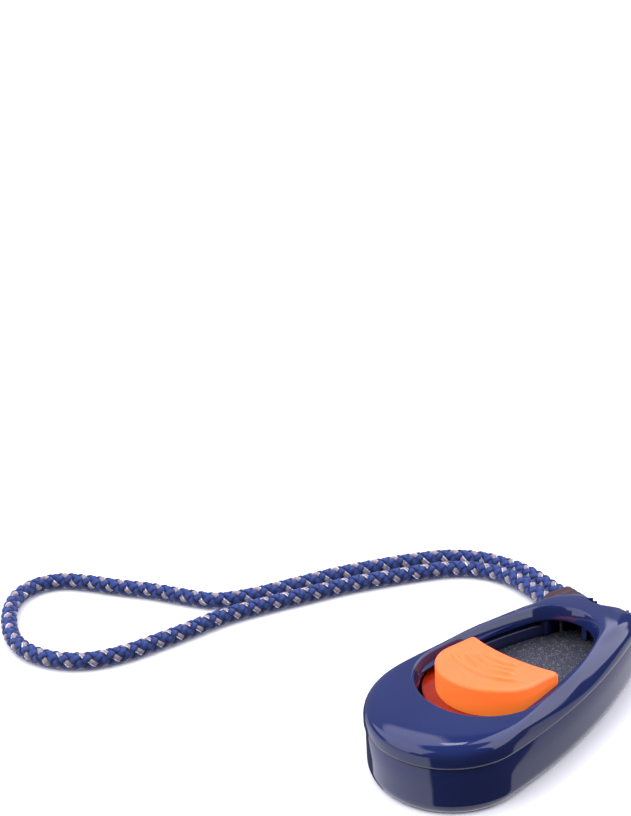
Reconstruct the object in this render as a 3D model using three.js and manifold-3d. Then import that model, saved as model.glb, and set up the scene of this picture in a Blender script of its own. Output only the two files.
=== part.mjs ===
// A hand-held clicker trainer: a two-shell plastic casing with a thumb well, a steel click blade,
// a volume slider that rides over the blade, and a braided lanyard on the eyelet.
// Millimetres, +Z up, +X towards the eyelet. The origin is under the middle of the casing.
import * as THREE from "three";
import { mergeVertices } from "three/addons/utils/BufferGeometryUtils.js";
import Module from "manifold-3d";

const wasm = await Module();
wasm.setup();

// ---------------------------------------------------------------- driving dimensions

// Outlines from above: a large round back end, a small round front end, long arcs between.
const CASE = { back: -38, front: 38, backRadius: 17.1, frontRadius: 10.9, sideRadius: 140.3 };
const WELL = { back: -22.9, front: 22.4, backRadius: 13.1, frontRadius: 8.3, sideRadius: 82 };
const ARC_STEPS = { front: 14, side: 8, back: 18 };

const GAP = 0.3; // between pieces that touch or nearly touch
const WALL = 1.8;
const FLOOR = 1.6;

// Heights.
const SPLIT_Z = 10.6; // the parting line between the shells
const CASE_TOP_Z = 15.3; // the crown around the well
const ROOF_Z = 13.5; // the underside of the top shell
const LEDGE_Z = 6.7; // the ledge that the guide frame stands on
const FRAME_TOP_Z = 10.85;
const BLADE_Z = { low: 8.0, high: 8.5 };
const FLANGE_Z = { low: 11.15, high: 11.95 };
const SKIRT_LOW_Z = FLANGE_Z.high + GAP;

// The casing's edges.
const SHOULDER = { size: 3.0, height: 4.2 };
const SLOPE = { size: 6.0, height: 2.4 }; // the top falls away towards the shoulder
const NOSE_SLOPE = { x: 30.5, degrees: 44 }; // and it falls again in front of this line
const ROOF_EDGE = { size: 3.4, height: 2.4 };
const FOOT_EDGE = { size: 1.2, height: 2.5 };
const LIP_CHAMFER = 1.1;
const SKIRT_THICKNESS = 1.3;
const TONGUE = { outer: 1.0, height: 1.0 };
const LEDGE_WIDTH = 1.6;

const BLADE_RIB = { x: [23.0, 24.4], y: [-2.1, -0.9] }; // the stop above the blade's front end

// The eyelet: a thin lug between two round scoops.
const EYELET = { x: 34, holeRadius: 2.15, scoopRadius: 5.2, wallRadius: 7.0, low: 4.6, high: 7.6 };

// Screws.
const CASE_SCREWS = { back: [-32.3, 0], left: [26, 6.9], right: [26, -6.9] };
const CASE_SCREW = { shank: 0.85, head: 1.6, seatZ: 3.2, tipZ: 11.5, headHeight: 1.4 };
const BLADE_SCREW = { x: -27, y: 5, shank: 0.9, head: 1.6, tipZ: 3.0, headHeight: 1.0 };
const BOSS_RADIUS = 2.2;
// The blade's nose narrows towards the front, clear of the screw columns.
const BLADE_NOSE = {
  openY: 6.1,
  steps: [{ front: 22.6, halfWidth: 5.6 }, { front: 26.2, halfWidth: 3.4 }],
};
const COLUMN_RADIUS = 2.9;

// The volume slider: a crescent, round towards the back and hollow towards the front.
const HOLLOW = { x: 32.57, radius: 33.8 };
const FLANGE = { x: -8.0, radius: 13.9 };
const GRIP = { x: -7.84, radius: 11.2 };
const GRIP_FOOT = { x: -8.0, radius: 7.8, front: -4.6 };
const GRIP_TOP = { x: -10, z: 17.07, slope: -0.14 };
const RIPPLE = { width: 0.9, height: 0.3 };
// Each ripple is an arc about (x, 0) that spans halfAngle either side of the back.
const RIPPLES = [
  { x: -0.6, radius: 12.2, halfAngle: 0.8 },
  { x: 1.1, radius: 10.8, halfAngle: 0.61 },
  { x: 1.0, radius: 8.5, halfAngle: 0.65 },
  { x: 3.0, radius: 8.2, halfAngle: 0.51 },
];
const PEG = { x: -9, y: 5.5, radius: 1.2, low: 10.1 };

// The lanyard: a thin string hitched to the eyelet, a clasp, a sliding adjuster and a braided loop.
const CORD_RADIUS = 2.0;
const CORD_Z = 2.1;
const SLEEVE_Z = 2.7; // the height of the strands in the clasp and the adjuster
const STRAND_OFFSET = 2.2;
const SLEEVE = { start: [39.9, 9.0], direction: [0.254, 0.967], claspLength: 3.8, length: 7.5 };
const SLEEVE_SIZE = { halfWidth: 4.9, halfHeight: 2.65 };

// ---------------------------------------------------------------- solids

// A closed geometry as a manifold-3d solid.
function solid(geometry) {
  const bare = geometry.index ? geometry.toNonIndexed() : geometry.clone();
  bare.deleteAttribute("normal");
  bare.deleteAttribute("uv");
  const merged = mergeVertices(bare, 1e-4);
  return new wasm.Manifold(
    new wasm.Mesh({
      numProp: 3,
      vertProperties: merged.attributes.position.array,
      triVerts: new Uint32Array(merged.index.array),
    }),
  );
}

// A manifold-3d solid as a geometry.
function geometryOf(made) {
  const mesh = made.getMesh();
  const geometry = new THREE.BufferGeometry();
  geometry.setAttribute("position", new THREE.BufferAttribute(mesh.vertProperties, 3));
  geometry.setIndex(new THREE.BufferAttribute(mesh.triVerts, 1));
  geometry.computeVertexNormals();
  return geometry;
}

function material(color, roughness, metalness = 0) {
  return new THREE.MeshStandardMaterial({ color, roughness, metalness });
}

const navy = material(0x2c3a6e, 0.25);
const coral = material(0xff7f3c, 0.5);
const amber = material(0xe04a10, 0.3);
const steel = material(0x8a8a90, 0.5, 0.8);
const darkPlastic = material(0x14192e, 0.5);
const rubber = material(0x26262a, 0.8);
const screwSteel = material(0xb0b0b4, 0.35, 1);
const stringFibre = material(0x5a5548, 0.8);
const maroon = material(0x4a2a38, 0.6);
const braid = material(0x2f4a9a, 0.85);

const clicker = new THREE.Group();

function addPiece(name, made, look) {
  const mesh = new THREE.Mesh(made.isBufferGeometry ? made : geometryOf(made), look.clone());
  mesh.name = name;
  clicker.add(mesh);
  return mesh;
}

// ---------------------------------------------------------------- outlines

function arc(x, y, radius, from, to, steps) {
  return Array.from({ length: steps + 1 }, (_, i) => {
    const angle = from + ((to - from) * i) / steps;
    return new THREE.Vector2(x + radius * Math.cos(angle), y + radius * Math.sin(angle));
  });
}

function shapeOf(points) {
  const near = 1e-3;
  const kept = points.filter((p, i) => p.distanceTo(points[(i + 1) % points.length]) > near);
  return new THREE.Shape(kept);
}

// The same outline, moved outwards all round.
function grown(outline, by) {
  return {
    back: outline.back - by,
    front: outline.front + by,
    backRadius: outline.backRadius + by,
    frontRadius: outline.frontRadius + by,
    sideRadius: outline.sideRadius + by,
  };
}

function oval(outline) {
  const back = outline.back + outline.backRadius;
  const front = outline.front - outline.frontRadius;
  const span = front - back;
  const toBack = outline.sideRadius - outline.backRadius;
  const toFront = outline.sideRadius - outline.frontRadius;
  const along = (toBack ** 2 - toFront ** 2 + span ** 2) / (2 * span);
  const drop = Math.sqrt(toBack ** 2 - along ** 2);
  const side = back + along; // the x of both side arcs' centres
  const atBack = Math.atan2(drop, back - side);
  const atFront = Math.atan2(drop, front - side);
  const { frontRadius, sideRadius, backRadius } = outline;
  return shapeOf([
    ...arc(front, 0, frontRadius, -atFront, atFront, ARC_STEPS.front),
    ...arc(side, -drop, sideRadius, atFront, atBack, ARC_STEPS.side),
    ...arc(back, 0, backRadius, atBack, 2 * Math.PI - atBack, ARC_STEPS.back),
    ...arc(side, drop, sideRadius, -atBack, -atFront, ARC_STEPS.side),
  ]);
}

// A crescent: a round back about (x, 0), straight sides, and the hollow front.
function crescent({ x, radius }) {
  const halfAngle = Math.asin(radius / HOLLOW.radius);
  return shapeOf([
    ...arc(x, 0, radius, Math.PI / 2, 1.5 * Math.PI, 20),
    ...arc(HOLLOW.x, 0, HOLLOW.radius, Math.PI + halfAngle, Math.PI - halfAngle, 8),
  ]);
}

// A half-round block with a straight front.
function halfRound({ x, radius, front }) {
  return shapeOf([
    ...arc(x, 0, radius, Math.PI / 2, 1.5 * Math.PI, 12),
    new THREE.Vector2(front, -radius),
    new THREE.Vector2(front, radius),
  ]);
}

function stadium(halfWidth, halfHeight) {
  const centre = halfWidth - halfHeight;
  const quarter = Math.PI / 2;
  return shapeOf([
    ...arc(centre, 0, halfHeight, -quarter, quarter, 8),
    ...arc(-centre, 0, halfHeight, quarter, 3 * quarter, 8),
  ]);
}

// ---------------------------------------------------------------- shapes

function slab(shape, low, high) {
  const geometry = new THREE.ExtrudeGeometry(shape, { depth: high - low, bevelEnabled: false });
  return solid(geometry.translate(0, 0, low));
}

// A slab whose two ends curve in; edge is how far in, and over what height.
function roundedSlab(shape, low, high, edge, segments) {
  const geometry = new THREE.ExtrudeGeometry(shape, {
    depth: high - low - 2 * edge.height,
    bevelSize: edge.size,
    bevelOffset: -edge.size,
    bevelThickness: edge.height,
    bevelSegments: segments,
  });
  return solid(geometry.translate(0, 0, low + edge.height));
}

function box(x, y, z) {
  const geometry = new THREE.BoxGeometry(x[1] - x[0], y[1] - y[0], z[1] - z[0]);
  geometry.translate((x[0] + x[1]) / 2, (y[0] + y[1]) / 2, (z[0] + z[1]) / 2);
  return solid(geometry);
}

function post(x, y, radius, low, high, sides = 24) {
  return slab(shapeOf(arc(x, y, radius, 0, 2 * Math.PI, sides)), low, high);
}

// A solid turned about the Z axis through (x, y), from its profile of [radius, z] points.
function turned(profile, x, y, sides = 20) {
  const points = profile.map(([radius, z]) => new THREE.Vector2(radius, z));
  const geometry = new THREE.LatheGeometry(points, sides);
  return solid(geometry.rotateX(Math.PI / 2).translate(x, y, 0));
}

// A tube along a curve.
function tube(points, radius, sides, steps) {
  const path = new THREE.CatmullRomCurve3(points.map((p) => new THREE.Vector3(...p)));
  const section = shapeOf(arc(0, 0, radius, 0, 2 * Math.PI, sides));
  return new THREE.ExtrudeGeometry(section, { steps, extrudePath: path, curveSegments: 1 });
}

const ABOVE = 30; // past the top of everything
const BELOW = -10;
const CAVITY = grown(CASE, -WALL);

// ---------------------------------------------------------------- casing

// Everything inside a casing that has rounded edges at its foot and its shoulder.
const aboveNose = box([0, 30], [-30, 30], [0, 20])
  .rotate([0, NOSE_SLOPE.degrees, 0])
  .translate([NOSE_SLOPE.x, 0, CASE_TOP_Z]);
const topOuter = roundedSlab(oval(CASE), -15, CASE_TOP_Z, SHOULDER, 6)
  .intersect(roundedSlab(oval(CASE), -15, CASE_TOP_Z, SLOPE, 1))
  .subtract(aboveNose);
const bottomOuter = roundedSlab(oval(CASE), 0, ABOVE, FOOT_EDGE, 3);

function eyeletCylinder(radius, low, high) {
  return post(EYELET.x, 0, radius, low, high, 28);
}

function topShell() {
  const low = SPLIT_Z + GAP / 2;
  const outer = topOuter.intersect(box([-50, 50], [-30, 30], [low, ABOVE]));
  let shell = outer.subtract(roundedSlab(oval(CAVITY), 0, ROOF_Z, ROOF_EDGE, 4));
  // The wall round the well, and the wall round the eyelet's scoop.
  shell = shell.add(
    slab(oval(grown(WELL, SKIRT_THICKNESS)), SKIRT_LOW_Z, CASE_TOP_Z).intersect(outer),
  );
  shell = shell.add(eyeletCylinder(EYELET.wallRadius, low, ABOVE).intersect(outer));
  for (const [x, y] of Object.values(CASE_SCREWS)) {
    const bossLow = LEDGE_Z + 2 * GAP;
    shell = shell.add(post(x, y, BOSS_RADIUS, bossLow, ROOF_Z + 0.5));
    shell = shell.subtract(post(x, y, CASE_SCREW.shank + GAP, 0, CASE_SCREW.tipZ + GAP, 16));
  }
  // The well, its chamfered lip, the eyelet's scoop and the rebate for the tongue.
  const well = oval(WELL);
  const lip = new THREE.ExtrudeGeometry(well, {
    depth: 1,
    bevelSize: LIP_CHAMFER,
    bevelThickness: LIP_CHAMFER,
    bevelSegments: 1,
  });
  const rebateHigh = SPLIT_Z + TONGUE.height + 2 * GAP;
  const rebate = slab(oval(grown(CASE, GAP - TONGUE.outer)), 0, rebateHigh).subtract(
    slab(oval(grown(CAVITY, -0.5)), BELOW, ABOVE),
  );
  // The rib is added last: it hangs below the skirt and stops the blade's front end.
  const rib = box(BLADE_RIB.x, BLADE_RIB.y, [BLADE_Z.high + GAP, SKIRT_LOW_Z + 0.5]);
  return shell
    .subtract(slab(well, 0, ABOVE))
    .subtract(solid(lip.translate(0, 0, CASE_TOP_Z)))
    .add(rib)
    .subtract(rebate.subtract(eyeletCylinder(EYELET.wallRadius + GAP, BELOW, ABOVE)))
    .subtract(eyeletCylinder(EYELET.scoopRadius, BELOW, ABOVE));
}

function bottomShell() {
  const high = SPLIT_Z - GAP / 2;
  const outer = bottomOuter.intersect(box([-50, 50], [-30, 30], [0, high]));
  const lowerCavity = slab(oval(grown(CAVITY, -LEDGE_WIDTH)), FLOOR, LEDGE_Z + 1);
  let shell = outer.subtract(slab(oval(CAVITY), LEDGE_Z, ABOVE)).subtract(lowerCavity);
  const tongueOutline = oval(grown(CASE, -TONGUE.outer));
  const tongue = slab(tongueOutline, high - 0.5, SPLIT_Z + TONGUE.height).subtract(
    slab(oval(CAVITY), BELOW, ABOVE),
  );
  shell = shell.add(tongue.subtract(eyeletCylinder(EYELET.wallRadius + GAP, BELOW, ABOVE)));
  shell = shell.add(eyeletCylinder(EYELET.wallRadius, 0, high).intersect(outer));
  // The pedestal that the blade is screwed to, and its pilot holes.
  shell = shell.add(box([-28.5, -23.5], [-8, 8], [FLOOR - 0.5, BLADE_Z.low - GAP]));
  for (const y of [-BLADE_SCREW.y, BLADE_SCREW.y]) {
    const pilotLow = BLADE_SCREW.tipZ - GAP;
    shell = shell.subtract(post(BLADE_SCREW.x, y, BLADE_SCREW.shank + GAP, pilotLow, ABOVE, 16));
  }
  // The columns that the casing screws pass through.
  for (const [x, y] of Object.values(CASE_SCREWS)) {
    shell = shell.add(post(x, y, COLUMN_RADIUS, FLOOR - 0.5, LEDGE_Z + GAP));
    shell = shell.subtract(post(x, y, CASE_SCREW.shank + GAP, BELOW, high, 16));
    shell = shell.subtract(post(x, y, CASE_SCREW.head + GAP, BELOW, CASE_SCREW.seatZ));
  }
  // A notch in the bottom edge for prising the casing open.
  shell = shell.subtract(box([-21, -17], [-20, -16.2], [BELOW, 0.9]));
  // The eyelet: a scoop above and below the lug, and the hole through it.
  return shell
    .subtract(eyeletCylinder(EYELET.scoopRadius, BELOW, EYELET.low))
    .subtract(eyeletCylinder(EYELET.scoopRadius, EYELET.high, ABOVE))
    .subtract(eyeletCylinder(EYELET.holeRadius, BELOW, ABOVE));
}

// ---------------------------------------------------------------- click mechanism

// The frame inside the well: it clamps the blade's root and guides the slider's flange.
function guideFrame() {
  const outline = oval(grown(CAVITY, -GAP));
  const reach = box([-29.6, 24.6], [-30, 30], [BELOW, ABOVE]);
  const low = LEDGE_Z + GAP;
  const upstandHigh = FLANGE_Z.high - 0.05;
  const hole = { back: -23.5, front: 23.0, backRadius: 13.7, frontRadius: 8.9, sideRadius: 82.6 };
  let frame = slab(outline, low, FRAME_TOP_Z).intersect(reach);
  // The upstands beside the flange, with three notches each for the slider's settings.
  const guides = slab(outline, FRAME_TOP_Z - 0.5, upstandHigh).intersect(
    box([-20, -4], [-30, 30], [BELOW, ABOVE]),
  );
  frame = frame.add(guides.subtract(box([-40, 40], [-14.2, 14.2], [BELOW, ABOVE])));
  for (const x of [-14, -11, -8]) {
    for (const side of [-1, 1]) {
      const y = side * 14.2;
      frame = frame.subtract(post(x, y, 0.4, FRAME_TOP_Z, upstandHigh + 1, 8));
    }
  }
  // The two horns at the front of the well, which end the slider's track.
  const frontWall = slab(outline, FRAME_TOP_Z - 0.5, upstandHigh);
  frame = frame.add(frontWall.intersect(box([19.5, 24.6], [-30, 30], [BELOW, ABOVE])));
  frame = frame.subtract(slab(oval(hole), BELOW, ABOVE));
  // The frame is open at the front, where the blade's nose passes between its two horns.
  frame = frame.subtract(box([19.5, 30], [-BLADE_NOSE.openY, BLADE_NOSE.openY], [BELOW, ABOVE]));
  // Room for the blade's root, the blade's screws and the top shell's bosses.
  frame = frame.subtract(box([-40, -19], [-8.6, 8.6], [BELOW, BLADE_Z.high + 0.35]));
  for (const y of [-BLADE_SCREW.y, BLADE_SCREW.y]) {
    frame = frame.subtract(post(BLADE_SCREW.x, y, BLADE_SCREW.shank + GAP, BELOW, ABOVE, 16));
  }
  for (const [x, y] of Object.values(CASE_SCREWS)) {
    frame = frame.subtract(post(x, y, BOSS_RADIUS + 0.4, BELOW, ABOVE));
  }
  return frame;
}

// The spring-steel blade: its root is clamped at the back, and the thumb presses its free end.
function clickBlade() {
  const pan = { back: -23, front: 22.5, backRadius: 13.2, frontRadius: 8.4, sideRadius: 82.1 };
  const { low, high } = BLADE_Z;
  let blade = slab(oval(pan), low, high).add(box([-28, -16], [-8, 8], [low, high]));
  for (const { front, halfWidth } of BLADE_NOSE.steps) {
    blade = blade.add(box([15, front], [-halfWidth, halfWidth], [low, high]));
  }
  for (const y of [-BLADE_SCREW.y, BLADE_SCREW.y]) {
    blade = blade.subtract(post(BLADE_SCREW.x, y, BLADE_SCREW.shank + GAP, BELOW, ABOVE, 16));
  }
  // The pressed dimple that makes the blade snap.
  const dimple = [[0, low - 0.5], [1.8, low - 0.35], [3.2, low + 0.1], [0, low + 0.1]];
  return blade.add(turned(dimple, -9, 0));
}

// A screw with a crossed slot; headZ is its head's seat and up is the side its head is on.
function screw([x, y], { shank, head, headHeight, tipZ }, headZ, up) {
  const ends = [tipZ, headZ].sort((a, b) => a - b);
  const headEnds = [headZ, headZ + up * headHeight].sort((a, b) => a - b);
  const crown = headZ + up * headHeight;
  const slotEnds = [crown - up * 0.6, crown + up].sort((a, b) => a - b);
  const reach = head * 0.65;
  const width = head * 0.14;
  return post(x, y, shank, ends[0], ends[1], 12)
    .add(post(x, y, head, headEnds[0], headEnds[1], 20))
    .subtract(box([x - reach, x + reach], [y - width, y + width], slotEnds))
    .subtract(box([x - width, x + width], [y - reach, y + reach], slotEnds));
}

// ---------------------------------------------------------------- volume slider

function pegs(radius, low, high) {
  const { x, y } = PEG;
  return post(x, y, radius, low, high, 14).add(post(x, -y, radius, low, high, 14));
}

function sliderCarriage() {
  return slab(crescent(FLANGE), FLANGE_Z.low, FLANGE_Z.high)
    .add(slab(halfRound(GRIP_FOOT), 9.65, FLANGE_Z.low + 0.2))
    .subtract(pegs(PEG.radius + GAP, BELOW, ABOVE));
}

// Everything above the grip's sloping top, raised by a distance.
function aboveGripTop(by) {
  const size = 80;
  const cutter = new THREE.BoxGeometry(size, size, size);
  cutter.translate(0, 0, size / 2).rotateY(-Math.atan(GRIP_TOP.slope));
  return solid(cutter.translate(GRIP_TOP.x, 0, GRIP_TOP.z + by));
}

// One raised ripple of the sound-wave pattern on the grip, round towards the back.
function ripple({ x, radius, halfAngle }) {
  const half = RIPPLE.width / 2;
  const outer = arc(x, 0, radius + half, Math.PI - halfAngle, Math.PI + halfAngle, 8);
  const inner = arc(x, 0, radius - half, Math.PI + halfAngle, Math.PI - halfAngle, 8);
  return slab(shapeOf([...outer, ...inner]), FLANGE_Z.high + 1, ABOVE);
}

function sliderGrip() {
  const low = FLANGE_Z.high + GAP;
  let grip = slab(crescent(GRIP), low, ABOVE).subtract(aboveGripTop(0));
  for (const place of RIPPLES) {
    grip = grip.add(ripple(place).subtract(aboveGripTop(RIPPLE.height)));
  }
  return grip.add(pegs(PEG.radius, PEG.low, low + 1));
}

function damperPad() {
  const pad = { x: -8.0, radius: 6.2, front: -5.2 };
  return slab(halfRound(pad), BLADE_Z.high + GAP, 9.35);
}

// ---------------------------------------------------------------- lanyard

// The string's cow hitch: a link through the eyelet and round its rim, and the knot in front.
function stringHitch() {
  const middle = (EYELET.low + EYELET.high) / 2;
  const rim = { x: [35.6, CASE.front + GAP], z: [EYELET.low - GAP, EYELET.high + GAP] };
  const thick = 1.0;
  const half = 1.0;
  const outside = box(
    [rim.x[0] - thick, rim.x[1] + thick],
    [-half, half],
    [rim.z[0] - thick, rim.z[1] + thick],
  );
  const knot = new THREE.SphereGeometry(1.35, 14, 10).translate(40.1, 0, middle);
  return outside.subtract(box(rim.x, [-5, 5], rim.z)).add(solid(knot));
}

const STRING_ROUTE = [
  [41.8, 0, 6.05],
  [42.9, 0.4, 5.8],
  [43.4, 1.7, 5.2],
  [42.9, 3.4, 4.4],
  [41.5, 5.1, 3.6],
  [40.2, 6.9, 2.9],
  [39.95, 8.9, 2.7],
  [40.27, 10.4, 2.7],
];

// The braided loop: out along one strand, round the bight and back along the other.
const CORD_ROUTE = [
  [42.61, 10.67, SLEEVE_Z],
  [45.51, 21.69, SLEEVE_Z],
  [48.4, 32.72, SLEEVE_Z],
  [49.3, 40.5, CORD_Z],
  [47.6, 48.3, CORD_Z],
  [43.2, 55, CORD_Z],
  [36.6, 60.3, CORD_Z],
  [28, 65.6, CORD_Z],
  [18.0, 70.8, CORD_Z],
  [7.0, 75.3, CORD_Z],
  [-3.5, 79.8, CORD_Z],
  [-10.4, 84.6, CORD_Z],
  [-13.8, 91.3, CORD_Z],
  [-17.6, 100.9, CORD_Z],
  [-22.4, 110.2, CORD_Z],
  [-26.0, 118.0, CORD_Z],
  [-29.8, 123.8, CORD_Z],
  [-35.0, 126.6, CORD_Z],
  [-41.0, 125.8, CORD_Z],
  [-46.4, 121.7, CORD_Z],
  [-50.9, 115.4, CORD_Z],
  [-54.2, 108.3, CORD_Z],
  [-55.1, 101.0, CORD_Z],
  [-53.2, 93.4, CORD_Z],
  [-48.2, 86.6, CORD_Z],
  [-40.5, 82.5, CORD_Z],
  [-32.5, 80.6, CORD_Z],
  [-24.0, 79.0, CORD_Z],
  [-14.0, 77.2, CORD_Z],
  [-4.0, 73.6, CORD_Z],
  [6.2, 69.2, CORD_Z],
  [16.6, 64.6, CORD_Z],
  [24.6, 60, CORD_Z],
  [31.8, 55.6, CORD_Z],
  [38, 51.2, CORD_Z],
  [42.2, 46.2, CORD_Z],
  [44.3, 40.6, CORD_Z],
  [44.15, 33.84, SLEEVE_Z],
  [41.25, 22.81, SLEEVE_Z],
  [38.36, 11.78, SLEEVE_Z],
];

// The sleeves' own frame: X across the strands, Y up, Z along them away from the string.
function placeOnStrands(mesh, along) {
  const [dx, dy] = SLEEVE.direction;
  const across = new THREE.Vector3(-dy, dx, 0);
  const up = new THREE.Vector3(0, 0, 1);
  const ahead = new THREE.Vector3(dx, dy, 0);
  mesh.quaternion.setFromRotationMatrix(new THREE.Matrix4().makeBasis(across, up, ahead));
  mesh.position.set(SLEEVE.start[0] + dx * along, SLEEVE.start[1] + dy * along, SLEEVE_Z);
}

function lanyardClasp() {
  const { halfWidth, halfHeight } = SLEEVE_SIZE;
  const { claspLength } = SLEEVE;
  const socketLow = 2.0;
  let clasp = slab(stadium(halfWidth, halfHeight), 0, claspLength);
  for (const side of [-1, 1]) {
    const socket = post(side * STRAND_OFFSET, 0, CORD_RADIUS + 0.18, socketLow, ABOVE, 16);
    clasp = clasp.subtract(socket);
  }
  return clasp.subtract(post(0, 0, 1.25, BELOW, socketLow + 0.5, 14));
}

function lanyardAdjuster() {
  const { halfWidth, halfHeight } = SLEEVE_SIZE;
  const wall = 0.45;
  return slab(stadium(halfWidth, halfHeight), 0, SLEEVE.length).subtract(
    slab(stadium(halfWidth - wall, halfHeight - wall), BELOW, ABOVE),
  );
}

// ---------------------------------------------------------------- assembly

addPiece("top_shell", topShell(), navy);
addPiece("bottom_shell", bottomShell(), navy);
addPiece("guide_frame", guideFrame(), darkPlastic);
addPiece("click_blade", clickBlade(), steel);
addPiece("blade_stop_pad", post(17, 0, 3, FLOOR + GAP, 4.6), rubber);

for (const [side, y] of [["left", BLADE_SCREW.y], ["right", -BLADE_SCREW.y]]) {
  const place = [BLADE_SCREW.x, y];
  addPiece("blade_screw_" + side, screw(place, BLADE_SCREW, FRAME_TOP_Z + GAP, 1), screwSteel);
}
for (const [side, place] of Object.entries(CASE_SCREWS)) {
  const seat = CASE_SCREW.seatZ - GAP;
  addPiece("case_screw_" + side, screw(place, CASE_SCREW, seat, -1), screwSteel);
}

addPiece("slider_carriage", sliderCarriage(), amber);
addPiece("slider_grip", sliderGrip(), coral);
addPiece("damper_pad", damperPad(), rubber);

addPiece("string_hitch", stringHitch(), stringFibre);
addPiece("lanyard_string", tube(STRING_ROUTE, 0.9, 8, 12), stringFibre);
addPiece("lanyard_cord", tube(CORD_ROUTE, CORD_RADIUS, 10, 46), braid);
placeOnStrands(addPiece("lanyard_clasp", lanyardClasp(), maroon), 0);
const adjuster = addPiece("lanyard_adjuster", lanyardAdjuster(), maroon);
placeOnStrands(adjuster, SLEEVE.claspLength + GAP);

export default clicker;
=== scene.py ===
"""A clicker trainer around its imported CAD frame: fine shells, slider, blade and braided lanyard.

Outlines and heights are in millimetres, as in the CAD, and MM turns them into metres.
"""
import math

import bmesh
import bpy
import numpy as np
from mathutils import Matrix, Quaternion, Vector


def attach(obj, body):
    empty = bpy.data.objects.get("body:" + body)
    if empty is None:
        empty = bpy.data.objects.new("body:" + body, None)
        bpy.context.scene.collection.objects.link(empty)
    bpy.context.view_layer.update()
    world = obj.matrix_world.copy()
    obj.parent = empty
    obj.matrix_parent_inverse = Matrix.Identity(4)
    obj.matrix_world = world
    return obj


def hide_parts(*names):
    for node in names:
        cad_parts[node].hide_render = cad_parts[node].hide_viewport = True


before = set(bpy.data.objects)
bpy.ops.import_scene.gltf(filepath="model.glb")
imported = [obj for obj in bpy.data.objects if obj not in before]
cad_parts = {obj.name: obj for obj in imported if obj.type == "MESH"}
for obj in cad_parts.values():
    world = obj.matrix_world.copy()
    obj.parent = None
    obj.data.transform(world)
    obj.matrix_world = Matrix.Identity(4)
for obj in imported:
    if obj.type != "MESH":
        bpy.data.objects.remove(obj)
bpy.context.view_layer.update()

MM = 0.001
TURN = 2 * math.pi

# ---------------------------------------------------------------- sizes, as in the CAD

# Outlines from above: a large round back, a small round front, long arcs between.
CASE = {"back": -38, "front": 38, "back_r": 17.1, "front_r": 10.9, "side_r": 140.3}
WELL = {"back": -22.9, "front": 22.4, "back_r": 13.1, "front_r": 8.3, "side_r": 82}
FRAME_HOLE = {"back": -23.5, "front": 23.0, "back_r": 13.7, "front_r": 8.9, "side_r": 82.6}
BLADE_PAN = {"back": -23, "front": 22.5, "back_r": 13.2, "front_r": 8.4, "side_r": 82.1}
RING = {"front": 36, "side": 44, "back": 52}  # points along each arc of an outline

WALL = 1.8
FLOOR_Z = 1.6
SPLIT_Z = 10.6
GAP = 0.3
TOP_Z = 15.3
ROOF_Z = 13.4
LEDGE_Z = 6.7
FRAME_TOP_Z = 10.85
BLADE_LOW_Z, BLADE_HIGH_Z = 8.0, 8.5
BLADE_ROOT_X = (-28, -16)
BLADE_ROOT_Y = (-8, 8)
# One side of the blade's narrowing nose, from its tip.
BLADE_NOSE = [(26.2, 1.8), (25.5, 3.2), (23.5, 4.7), (21.5, 5.7), (15, 6.4)]
NOSE_ROOM = 6.1
FRAME_X = (-29.6, 24.6)
FRAME_IN = -2.1  # from the casing's outline to the frame's
END_WALL_X = (19.5, 24.6)
UPSTAND_X = (-20, -4)
UPSTAND_IN_Y = 14.2
UPSTAND_HIGH_Z = 11.9
RIB_X, RIB_Y = (23.0, 24.4), (-2.1, -0.9)
PEDESTAL_X = (-28.5, -23.5)
NOTCH_X, NOTCH_Y, NOTCH_HIGH_Z = (-21, -17), (-20, -16.2), 0.9
FLANGE_LOW_Z, FLANGE_HIGH_Z = 11.15, 11.95
SKIRT_LOW_Z = FLANGE_HIGH_Z + GAP

EYELET_X = 34
EYELET_HOLE_R = 2.15
SCOOP_R = 5.2
SCOOP_WALL_R = 7.0
LUG_LOW_Z, LUG_HIGH_Z = 4.6, 7.6

CASE_SCREWS = [(-32.3, 0), (26, 6.9), (26, -6.9)]
BLADE_SCREWS = [(-27, 5), (-27, -5)]
CASE_SCREW_HOLE_R = 1.15
BLADE_SCREW_HOLE_R = 1.2
BOSS_R = 2.2
COLUMN_R = 2.9

HOLLOW_X, HOLLOW_R = 32.57, 33.8
FLANGE_X, FLANGE_R = -8.0, 13.9
FOOT_R, FOOT_FRONT, FOOT_LOW_Z = 7.8, -4.6, 9.65
DAMPER_R, DAMPER_FRONT, DAMPER_HIGH_Z = 6.2, -5.2, 9.35
PEG_X, PEG_YS, PEG_R, PEG_LOW_Z = -9, (-5.5, 5.5), 1.2, 10.1
GRIP_X, GRIP_R = -7.84, 11.2
GRIP_TOP_X, GRIP_TOP_Z, GRIP_SLOPE = -10, 17.07, -0.14

CORD_R = 2.0
CORD_Z = 2.1
SLEEVE_Z = 2.7
STRAND_OFFSET = 2.2
SLEEVE_START = Vector((39.9, 9.0, SLEEVE_Z))
SLEEVE_AHEAD = Vector((0.254, 0.967, 0)).normalized()
CLASP_LENGTH = 3.8
ADJUSTER_LENGTH = 7.5
SLEEVE_HALF = (4.9, 2.65)
SLEEVE_EDGE = 0.55  # the round at a sleeve's ends
SLEEVE_RIB = 0.1

EVERYWHERE = (-30, 30)  # past the casing on both sides
UPWARDS = (0, 30)  # from the table to past the top of everything

# ---------------------------------------------------------------- camera

CAMERA_PLACE = Vector((-196.0, -152.9, 170.15)) * MM
CAMERA_AIM = Vector((99.5, 161.2, 0)) * MM
CAMERA_ROLL = math.radians(-3.53)


def add_object(name, data):
    obj = bpy.data.objects.new(name, data)
    bpy.context.scene.collection.objects.link(obj)
    return obj


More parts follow.
